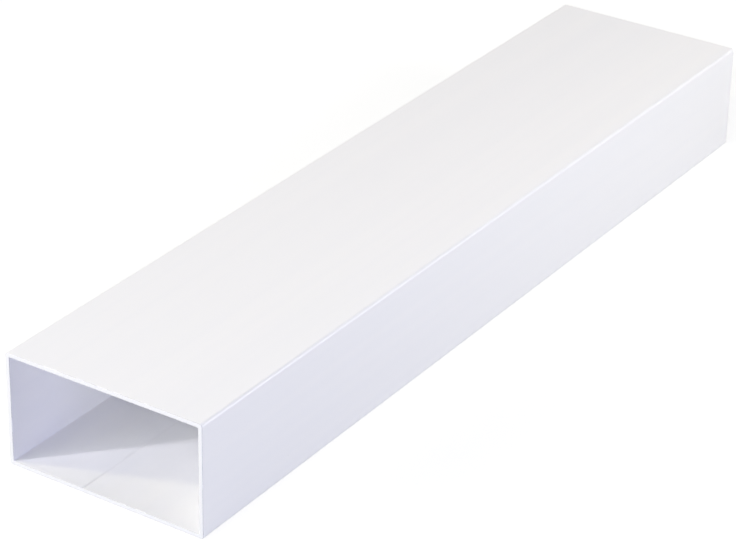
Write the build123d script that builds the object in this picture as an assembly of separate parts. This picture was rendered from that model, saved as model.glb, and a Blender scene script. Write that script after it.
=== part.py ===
"""A straight length of rigid white PVC rectangular ventilation duct.

The duct is one extrusion: a flat rectangular tube with an even wall, open at both ends, sawn
square to length and lightly deburred. It lies on one of its two wide faces, as it would on a floor.
The origin is at the middle of that face, X runs across the width, Y along the length and Z up.
"""

import os

from build123d import *

# Driving dimensions, in millimetres.
OUTER_WIDTH = 110.0  # across the two sides
OUTER_HEIGHT = 59.0  # from the underside to the top
WALL = 2.2  # thickness of all four walls
LENGTH = 500.0  # sawn length
OUTER_CORNER_RADIUS = 1.5  # rounding of the four long outside corners
INNER_CORNER_RADIUS = 0.5  # rounding of the four long inside corners
END_DEBURR = 0.25  # chamfer along the sawn edges, inside and outside, at both ends

# The clear airway that the walls leave.
AIRWAY_WIDTH = OUTER_WIDTH - 2 * WALL
AIRWAY_HEIGHT = OUTER_HEIGHT - 2 * WALL


def duct_section():
    """The wall's section, drawn across the length with its underside on the floor."""
    outline = RectangleRounded(OUTER_WIDTH, OUTER_HEIGHT, OUTER_CORNER_RADIUS)
    airway = RectangleRounded(AIRWAY_WIDTH, AIRWAY_HEIGHT, INNER_CORNER_RADIUS)
    return Plane.XZ * Pos(0, OUTER_HEIGHT / 2) * (outline - airway)


def duct_channel():
    """The section extruded to length about the origin, with both sawn ends deburred."""
    tube = extrude(duct_section(), LENGTH / 2, both=True)
    front_end = tube.faces().sort_by(Axis.Y)[0]
    back_end = tube.faces().sort_by(Axis.Y)[-1]
    return chamfer(front_end.edges() + back_end.edges(), END_DEBURR)


os.makedirs("parts", exist_ok=True)
export_step(duct_channel(), "parts/duct_channel.step")
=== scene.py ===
import math

import bmesh
import bpy
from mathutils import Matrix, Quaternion, Vector, noise


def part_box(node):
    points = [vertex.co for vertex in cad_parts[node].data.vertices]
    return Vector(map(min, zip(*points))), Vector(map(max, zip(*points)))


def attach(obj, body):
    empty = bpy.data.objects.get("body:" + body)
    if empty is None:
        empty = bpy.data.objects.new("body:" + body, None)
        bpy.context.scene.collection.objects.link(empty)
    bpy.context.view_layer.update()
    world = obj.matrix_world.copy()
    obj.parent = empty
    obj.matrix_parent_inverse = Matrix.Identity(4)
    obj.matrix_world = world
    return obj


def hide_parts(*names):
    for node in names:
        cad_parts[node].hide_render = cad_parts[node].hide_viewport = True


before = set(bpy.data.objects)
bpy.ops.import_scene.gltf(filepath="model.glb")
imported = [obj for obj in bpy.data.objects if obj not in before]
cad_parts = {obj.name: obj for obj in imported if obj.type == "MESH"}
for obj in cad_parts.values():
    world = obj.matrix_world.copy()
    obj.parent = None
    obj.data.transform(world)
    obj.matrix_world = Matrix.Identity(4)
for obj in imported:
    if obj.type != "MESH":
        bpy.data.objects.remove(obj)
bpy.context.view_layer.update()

# The duct is one straight length of white rigid PVC: a flat rectangular tube with an even wall.
# It is extruded through a die, which leaves fine lines along it, then sawn square at both ends
# and scraped along the cut edges. It lies on one of its two wide faces.
duct_low, duct_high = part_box("duct_channel")
duct_middle = (duct_low + duct_high) / 2
duct_size = duct_high - duct_low

WALL = 0.0022
OUTER_CORNER = 0.0015
INNER_CORNER = 0.0005
CORNER_STEPS = 6
WIDE_CUTS = 56
NARROW_CUTS = 28
LEVEL_TOLERANCE = WALL / 10
DIE_LINE_X = -0.0122
DIE_LINE_HALF_WIDTH = 0.00035
DIE_LINE_DEPTH = 0.0003

duct_mesh = bmesh.new()


def edges_since(before):
    """The duct's edges that came after those in a set, in the order of the mesh."""
    return [edge for edge in duct_mesh.edges if edge not in before]


def section_outline(width, height, corner):
    """One closed outline at the front end: a rectangle with round corners, cut into short runs."""
    before = set(duct_mesh.edges)
    corners = [
        duct_mesh.verts.new((side_x * width / 2, duct_low.y, duct_middle.z + side_z * height / 2))
        for side_x, side_z in ((-1, -1), (1, -1), (1, 1), (-1, 1))
    ]
    panel = duct_mesh.faces.new(corners)
    bmesh.ops.delete(duct_mesh, geom=[panel], context="FACES_ONLY")
    bmesh.ops.bevel(
        duct_mesh,
        geom=corners,
        offset=corner,
        segments=CORNER_STEPS,
        profile=0.5,
        affect="VERTICES",
        material=-1,
    )
    for axis, cuts in ((0, WIDE_CUTS), (2, NARROW_CUTS)):
        long_runs = [
            edge
            for edge in edges_since(before)
            if abs(edge.verts[0].co[axis] - edge.verts[1].co[axis]) > height / 2
        ]
        bmesh.ops.subdivide_edges(duct_mesh, edges=long_runs, cuts=cuts)
    # The lower run gets a point at the middle and at each side of the die line.
    for side in (-1, 0, 1):
        lower_runs = [
            edge
            for edge in edges_since(before)
            if max(vert.co.z for vert in edge.verts) < duct_middle.z - height / 2 + LEVEL_TOLERANCE
        ]
        lower_verts = list(dict.fromkeys(vert for edge in lower_runs for vert in edge.verts))
        bmesh.ops.bisect_plane(
            duct_mesh,
            geom=lower_runs + lower_verts,
            plane_co=(DIE_LINE_X + side * DIE_LINE_HALF_WIDTH, 0, 0),
            plane_no=(1, 0, 0),
        )
    return edges_since(before)


outer_outline = section_outline(duct_size.x, duct_size.z, OUTER_CORNER)
inner_outline = section_outline(duct_size.x - 2 * WALL, duct_size.z - 2 * WALL, INNER_CORNER)

# The one die line that shows plainly, a shallow V, runs along the inside of the lower wall.
for vert in {vert for edge in inner_outline for vert in edge.verts}:
    if abs(vert.co.x - DIE_LINE_X) < DIE_LINE_HALF_WIDTH / 2 and vert.co.z < duct_middle.z:
        vert.co.z -= DIE_LINE_DEPTH

# The wall's section is bridged between the two outlines and drawn out to the duct's length.
front_end = bmesh.ops.bridge_loops(duct_mesh, edges=outer_outline + inner_outline)["faces"]
drawn = bmesh.ops.extrude_face_region(duct_mesh, geom=front_end)["geom"]
back_verts = [part for part in drawn if isinstance(part, bmesh.types.BMVert)]
bmesh.ops.translate(duct_mesh, vec=(0, duct_size.y, 0), verts=back_verts)
bmesh.ops.recalc_face_normals(duct_mesh, faces=duct_mesh.faces)

# The cut edges are scraped by hand, so the narrow flat that this leaves wanders a little.
SCRAPE = 0.00025
SCRAPE_STEPS = 2
SCRAPE_TOLERANCE = SCRAPE / 10
SCRAPE_WANDER = 0.00008
SCRAPE_GRAIN = 160.0
SAWN_FACING = 0.3


def is_sawn(face):
    """True for the cut ends and their scraped edges, which face along the duct."""
    return abs(face.normal.y) > SAWN_FACING


cut_edges = [edge for edge in duct_mesh.edges if len({is_sawn(face) for face in edge.link_faces}) == 2]
bmesh.ops.bevel(
    duct_mesh,
    geom=cut_edges,
    offset=SCRAPE,
    segments=SCRAPE_STEPS,
    profile=0.5,
    affect="EDGES",
    material=-1,
)
for vert in duct_mesh.verts:
    from_middle = vert.co.y - duct_middle.y
    inward = duct_size.y / 2 - abs(from_middle)
    if abs(inward - SCRAPE) < SCRAPE_TOLERANCE:
        wander = SCRAPE_WANDER * (1 + noise.noise(vert.co * SCRAPE_GRAIN)) / 2
        vert.co.y -= math.copysign(wander, from_middle)
duct_mesh.normal_update()

# The first of the duct's two materials is its skin, and the second is for the sawn ends.
for face in duct_mesh.faces:
    face.smooth = True
    face.material_index = int(is_sawn(face))

duct_data = bpy.data.meshes.new("duct_tube")
duct_mesh.to_mesh(duct_data)
duct_mesh.free()
duct = bpy.data.objects.new("duct_tube", duct_data)
bpy.context.scene.collection.objects.link(duct)

# The duct's flats are shaded flat, and only the rounded corners between them turn.
FLATS_WEIGHT = 100
true_flats = duct.modifiers.new("true_flats", "WEIGHTED_NORMAL")
true_flats.weight = FLATS_WEIGHT

# The skin: satin white, with broad pale bands and fine streaks along the length, and a few tiny specks.
PVC_IOR = 1.53
SKIN_COOL = (0.892, 0.888, 0.898, 1.0)
SKIN_WARM = (0.915, 0.906, 0.906, 1.0)
SKIN_SLEEK = 0.285
SKIN_DULL = 0.36
NOISE_LOW = 0.3
NOISE_HIGH = 0.7
BAND_SCALE = (90.0, 1.2, 90.0)
BAND_DETAIL = 3.0
BAND_RELIEF = 0.00005
STREAK_SCALE = (700.0, 2.5, 700.0)
STREAK_DETAIL = 2.0
STREAK_RELIEF = 0.00002
SKIN_RELIEF_STRENGTH = 0.6
SPECK_COLOUR = (0.62, 0.61, 0.60, 1.0)
SPECK_CELLS = 55.0
SPECK_CORE = 0.012
SPECK_RIM = 0.020
SPECK_COVER = 0.5


def node(tree, kind, inputs=None, **settings):
    """A new shader node with its settings, and with a value or a link for each input that is named."""
    made = tree.nodes.new(kind)
    for name, value in settings.items():
        setattr(made, name, value)
    for name, value in (inputs or {}).items():
        if isinstance(value, bpy.types.NodeSocket):
            tree.links.new(value, made.inputs[name])
        else:
            made.inputs[name].default_value = value
    return made


def drawn_noise(tree, place, scale, detail):
    """Noise that is drawn out along the duct, as the die draws the plastic."""
    stretched = node(tree, "ShaderNodeMapping", {"Vector": place, "Scale": scale}).outputs["Vector"]
    grain = node(tree, "ShaderNodeTexNoise", {"Vector": stretched, "Scale": 1.0, "Detail": detail})
    return grain.outputs["Fac"]


def carried_over(tree, value, from_range, to_range):
    """A value carried over from one range to another, and held at its ends."""
    ranges = {
        "Value": value,
        "From Min": from_range[0],
        "From Max": from_range[1],
        "To Min": to_range[0],
        "To Max": to_range[1],
    }
    return node(tree, "ShaderNodeMapRange", ranges).outputs["Result"]


skin = bpy.data.materials.new("white_pvc_skin")
skin.use_nodes = True
tree = skin.node_tree
place = node(tree, "ShaderNodeTexCoord").outputs["Object"]
bands = drawn_noise(tree, place, BAND_SCALE, BAND_DETAIL)
streaks = drawn_noise(tree, place, STREAK_SCALE, STREAK_DETAIL)
tint = node(tree, "ShaderNodeValToRGB", {"Fac": bands})
tint.color_ramp.elements[0].position = NOISE_LOW
tint.color_ramp.elements[0].color = SKIN_COOL
tint.color_ramp.elements[1].position = NOISE_HIGH
tint.color_ramp.elements[1].color = SKIN_WARM
specks = node(tree, "ShaderNodeTexVoronoi", {"Vector": place, "Scale": SPECK_CELLS})
speck = carried_over(tree, specks.outputs["Distance"], (SPECK_CORE, SPECK_RIM), (SPECK_COVER, 0.0))
skin_colour = node(
    tree,
    "ShaderNodeMix",
    {"Factor": speck, "A": tint.outputs["Color"], "B": SPECK_COLOUR},
    data_type="RGBA",
)
skin_gloss = carried_over(tree, streaks, (NOISE_LOW, NOISE_HIGH), (SKIN_SLEEK, SKIN_DULL))
band_relief = node(
    tree,
    "ShaderNodeBump",
    {"Height": bands, "Strength": SKIN_RELIEF_STRENGTH, "Distance": BAND_RELIEF},
)
skin_relief = node(
    tree,
    "ShaderNodeBump",
    {
        "Height": streaks,
        "Strength": SKIN_RELIEF_STRENGTH,
        "Distance": STREAK_RELIEF,
        "Normal": band_relief.outputs["Normal"],
    },
)
skin_shader = tree.nodes["Principled BSDF"]
tree.links.new(skin_colour.outputs["Result"], skin_shader.inputs["Base Color"])
tree.links.new(skin_gloss, skin_shader.inputs["Roughness"])
tree.links.new(skin_relief.outputs["Normal"], skin_shader.inputs["Normal"])
skin_shader.inputs["IOR"].default_value = PVC_IOR

# The sawn ends: rougher than the skin, with the slanting marks of the blade. Their colour is darker than
# the skin's, partly as real sawn plastic and partly as painted shade, so that the brightly lit front faces
# don't clip to white.
SAWN_PALE_SHADED = (0.72, 0.715, 0.70, 1.0)
SAWN_DARK_SHADED = (0.63, 0.625, 0.615, 1.0)
SAWN_SLEEK = 0.5
SAWN_DULL = 0.68
BLADE_SLANT = math.radians(28)
BLADE_MARKS = 390.0
BLADE_WOBBLE = 2.5
BLADE_DETAIL = 3.0
BLADE_DETAIL_SCALE = 0.4
BLADE_RELIEF = 0.00003
BLADE_RELIEF_STRENGTH = 0.7

sawn = bpy.data.materials.new("white_pvc_sawn")
sawn.use_nodes = True
tree = sawn.node_tree
place = node(tree, "ShaderNodeTexCoord").outputs["Object"]
blade_place = node(tree, "ShaderNodeMapping", {"Vector": place, "Rotation": (0, BLADE_SLANT, 0)})
marks = node(
    tree,
    "ShaderNodeTexWave",
    {
        "Vector": blade_place.outputs["Vector"],
        "Scale": BLADE_MARKS,
        "Distortion": BLADE_WOBBLE,
        "Detail": BLADE_DETAIL,
        "Detail Scale": BLADE_DETAIL_SCALE,
    },
).outputs["Fac"]
# The blade marks' two colours, both darkened as painted shade on the front-lit ends.
sawn_shaded_colour = node(tree, "ShaderNodeValToRGB", {"Fac": marks})
sawn_shaded_colour.color_ramp.elements[0].color = SAWN_DARK_SHADED
sawn_shaded_colour.color_ramp.elements[1].color = SAWN_PALE_SHADED
sawn_gloss = carried_over(tree, marks, (0.0, 1.0), (SAWN_SLEEK, SAWN_DULL))
sawn_relief = node(
    tree,
    "ShaderNodeBump",
    {"Height": marks, "Strength": BLADE_RELIEF_STRENGTH, "Distance": BLADE_RELIEF},
)
sawn_shader = tree.nodes["Principled BSDF"]
tree.links.new(sawn_shaded_colour.outputs["Color"], sawn_shader.inputs["Base Color"])
tree.links.new(sawn_gloss, sawn_shader.inputs["Roughness"])
tree.links.new(sawn_relief.outputs["Normal"], sawn_shader.inputs["Normal"])
sawn_shader.inputs["IOR"].default_value = PVC_IOR

duct_data.materials.append(skin)
duct_data.materials.append(sawn)
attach(duct, "root")
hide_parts("duct_channel")

# The floor is a plain round white sheet, level with the duct's underside. It looks white where it is
# seen straight or mirrored, keeps a faint shadow, and throws only a little light back at the duct.
FLOOR_RADIUS = 0.9
FLOOR_STEPS = 96
FLOOR_GLOW = 0.73
FLOOR_TONE = (0.36, 0.36, 0.36, 1.0)
FLOOR_BOUNCE = (0.25, 0.25, 0.25, 1.0)

floor_mesh = bmesh.new()
bmesh.ops.create_circle(floor_mesh, cap_ends=True, segments=FLOOR_STEPS, radius=FLOOR_RADIUS)
bmesh.ops.translate(floor_mesh, vec=(0, 0, duct_low.z), verts=floor_mesh.verts)
floor_data = bpy.data.meshes.new("floor")
floor_mesh.to_mesh(floor_data)
floor_mesh.free()
floor = bpy.data.objects.new("floor", floor_data)
bpy.context.scene.collection.objects.link(floor)


def seen(tree):
    """1 for rays that show a surface, straight or mirrored, and 0 for rays that only carry light."""
    rays = node(tree, "ShaderNodeLightPath").outputs
    total = rays["Is Camera Ray"]
    for kind in ("Is Glossy Ray", "Is Transmission Ray"):
        total = node(tree, "ShaderNodeMath", {0: total, 1: rays[kind]}, use_clamp=True).outputs["Value"]
    return total


floor_paint = bpy.data.materials.new("white_floor")
floor_paint.use_nodes = True
tree = floor_paint.node_tree
tree.nodes.clear()
floor_bounce = node(tree, "ShaderNodeBsdfDiffuse", {"Color": FLOOR_BOUNCE}).outputs["BSDF"]
floor_tone = node(tree, "ShaderNodeBsdfDiffuse", {"Color": FLOOR_TONE}).outputs["BSDF"]
floor_glow = node(tree, "ShaderNodeEmission", {"Strength": FLOOR_GLOW}).outputs["Emission"]
floor_look = node(tree, "ShaderNodeAddShader", {0: floor_tone, 1: floor_glow}).outputs["Shader"]
floor_mix = node(tree, "ShaderNodeMixShader", {0: seen(tree), 1: floor_bounce, 2: floor_look})
node(tree, "ShaderNodeOutputMaterial", {"Surface": floor_mix.outputs["Shader"]})
floor_data.materials.append(floor_paint)

# The room round the duct is plain: it looks white where it is seen straight or mirrored, and it gives
# only a faint cool light from all round.
AMBIENT = (0.80, 0.89, 1.0, 1.0)
AMBIENT_STRENGTH = 0.03
BACKDROP = (1.0, 1.0, 1.0, 1.0)
BACKDROP_STRENGTH = 1.0

world = bpy.data.worlds.new("studio")
bpy.context.scene.world = world
world.use_nodes = True
tree = world.node_tree
tree.nodes.clear()
ambient = node(tree, "ShaderNodeBackground", {"Color": AMBIENT, "Strength": AMBIENT_STRENGTH})
backdrop = node(tree, "ShaderNodeBackground", {"Color": BACKDROP, "Strength": BACKDROP_STRENGTH})
room = node(
    tree,
    "ShaderNodeMixShader",
    {0: seen(tree), 1: ambient.outputs["Background"], 2: backdrop.outputs["Background"]},
)
node(tree, "ShaderNodeOutputWorld", {"Surface": room.outputs["Shader"]})

# The lamps are soft boxes. Two at the front left draw the shadows inside the mouth, and the others fill
# from the front, from above, from close to the right side and from behind. The gloss doesn't show them,
# but it alone shows one low strip, which draws the bright line along the long top corner.
NEUTRAL = (1.0, 1.0, 1.0)


def duct_point(across, along):
    """A point at half the duct's height: metres across from its middle, and a share of its length along."""
    return Vector((across, duct_low.y + along * duct_size.y, duct_middle.z))


def lamp(name, aim, azimuth, elevation, distance, size, power, tint):
    """A soft box aimed at a point. Its azimuth counts from the duct's front, leftwards positive."""
    data = bpy.data.lights.new(name, "AREA")
    data.shape = "RECTANGLE"
    data.size, data.size_y = size
    data.energy = power
    data.color = tint
    made = bpy.data.objects.new(name, data)
    turn = math.radians(azimuth)
    rise = math.radians(elevation)
    back = Vector((-math.sin(turn) * math.cos(rise), -math.cos(turn) * math.cos(rise), math.sin(rise)))
    made.location = aim + back * distance
    made.rotation_mode = "QUATERNION"
    made.rotation_quaternion = (-back).to_track_quat("-Z", "Y")
    made.visible_camera = False
    made.visible_glossy = False
    bpy.context.scene.collection.objects.link(made)
    return made


mouth = duct_point(0, 0)
far_mouth = duct_point(0, 1)
lamp(
    "key", mouth, azimuth=43.5, elevation=28, distance=2.0,
    size=(0.11, 0.11), power=20.5, tint=(0.93, 0.93, 1.0),
)
lamp(
    "side", mouth, azimuth=69, elevation=26, distance=2.0,
    size=(0.14, 0.14), power=11.4, tint=(1.0, 0.94, 0.58),
)
lamp(
    "left_fill", mouth, azimuth=34, elevation=22, distance=1.8,
    size=(0.8, 0.5), power=9.0, tint=NEUTRAL,
)
lamp(
    "front_fill", mouth, azimuth=22, elevation=20, distance=1.8,
    size=(1.0, 0.6), power=10.0, tint=(0.955, 1.0, 0.95),
)
lamp(
    "cool_fill", mouth, azimuth=-34, elevation=15, distance=1.8,
    size=(0.5, 0.5), power=20.4, tint=(0.77, 0.80, 1.0),
)
lamp(
    "blue_fill", mouth, azimuth=-68, elevation=8, distance=1.6,
    size=(0.4, 0.2), power=1.4, tint=(0.03, 0.06, 1.0),
)
lamp(
    "overhead", duct_point(0, 0.9), azimuth=0, elevation=89, distance=1.2,
    size=(0.9, 0.9), power=2.35, tint=(0.89, 0.83, 1.0),
)
lamp(
    "right_far", duct_point(duct_high.x, 0.78), azimuth=-100, elevation=25, distance=0.8,
    size=(0.4, 0.4), power=3.8, tint=(1.0, 0.96, 0.86),
)
lamp(
    "right_near", duct_point(duct_high.x, 0.66), azimuth=-95, elevation=20, distance=0.9,
    size=(0.5, 0.4), power=0.75, tint=(0.50, 0.77, 1.0),
)
lamp(
    "back_right", duct_point(duct_high.x, 0.1), azimuth=-143, elevation=31, distance=2.4,
    size=(0.7, 0.7), power=5.0, tint=(1.0, 0.96, 0.82),
)
lamp(
    "far_fill", far_mouth, azimuth=-175, elevation=12, distance=1.5,
    size=(0.6, 0.6), power=11.0, tint=NEUTRAL,
)
edge_line = lamp(
    "edge_line", duct_point(duct_high.x, 0), azimuth=-126, elevation=0, distance=2.2,
    size=(1.2, 0.04), power=15.0, tint=NEUTRAL,
)
edge_line.visible_glossy = True
edge_line.visible_diffuse = False

# The camera stands where the photograph was taken from, in front of the duct, to its right and above it.
# Its long lens and slight roll are the photograph's.
CAMERA_PLACE = Vector((0.6832, -1.0861, 0.6905))
CAMERA_AIM = Vector((-0.0121, -0.0186, 0.0126))
CAMERA_ROLL = math.radians(1.17)
CAMERA_LENS = 138.47

camera_data = bpy.data.cameras.new("camera")
camera_data.lens = CAMERA_LENS
camera = bpy.data.objects.new("camera", camera_data)
camera.location = CAMERA_PLACE
camera.rotation_mode = "QUATERNION"
facing = (CAMERA_AIM - CAMERA_PLACE).to_track_quat("-Z", "Y")
camera.rotation_quaternion = facing @ Quaternion((0, 0, 1), CAMERA_ROLL)
bpy.context.scene.collection.objects.link(camera)
bpy.context.scene.camera = camera
bpy.context.scene.view_settings.view_transform = "Standard"
